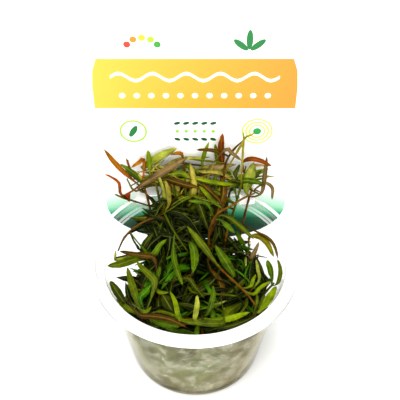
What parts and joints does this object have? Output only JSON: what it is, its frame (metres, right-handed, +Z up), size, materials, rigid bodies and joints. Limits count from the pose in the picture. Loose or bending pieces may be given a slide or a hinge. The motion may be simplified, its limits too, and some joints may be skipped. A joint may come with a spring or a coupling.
{
  "type": "narrow-leaved hygrophila in a clear tissue-culture cup",
  "caption": "Aquarium plantlets with narrow leaves rooted in gel inside a clear cup, spilling over the rim, with a flat label card hung behind on folded hooks.",
  "frame": {"origin": "centre of the cup's base on the surface it stands on", "axes": "+Z up along the cup's axis, +Y towards the label card, +X to the right as seen from the open side"},
  "size_m": [0.101, 0.1021, 0.17],
  "materials": {
    "cup_plastic": "clear moulded, glossy",
    "gel": "cloudy moist gel",
    "card_plastic": "printed sheet, satin",
    "leaf_green": "fresh leaf, satin",
    "leaf_olive": "olive leaf, satin",
    "leaf_brown": "red-brown leaf, satin"
  },
  "bodies": {
    "root": {"cup": "cup_plastic", "agar_gel": "gel", "label_card": "card_plastic", "shoot_01": "leaf_olive", "shoot_02": "leaf_green", "shoot_03": "leaf_green", "shoot_04": "leaf_brown", "shoot_05": "leaf_brown", "shoot_06": "leaf_olive", "shoot_07": "leaf_green", "shoot_08": "leaf_green", "shoot_09": "leaf_brown", "shoot_10": "leaf_olive", "shoot_11": "leaf_olive", "shoot_12": "leaf_olive", "shoot_13": "leaf_olive", "shoot_14": "leaf_green", "shoot_15": "leaf_green", "shoot_16": "leaf_green", "shoot_17": "leaf_green", "shoot_18": "leaf_olive", "shoot_19": "leaf_green", "shoot_20": "leaf_green", "shoot_21": "leaf_brown", "shoot_22": "leaf_brown", "shoot_23": "leaf_olive", "shoot_24": "leaf_brown", "shoot_25": "leaf_olive", "shoot_26": "leaf_brown", "shoot_27": "leaf_green"}
  },
  "joints": []
}
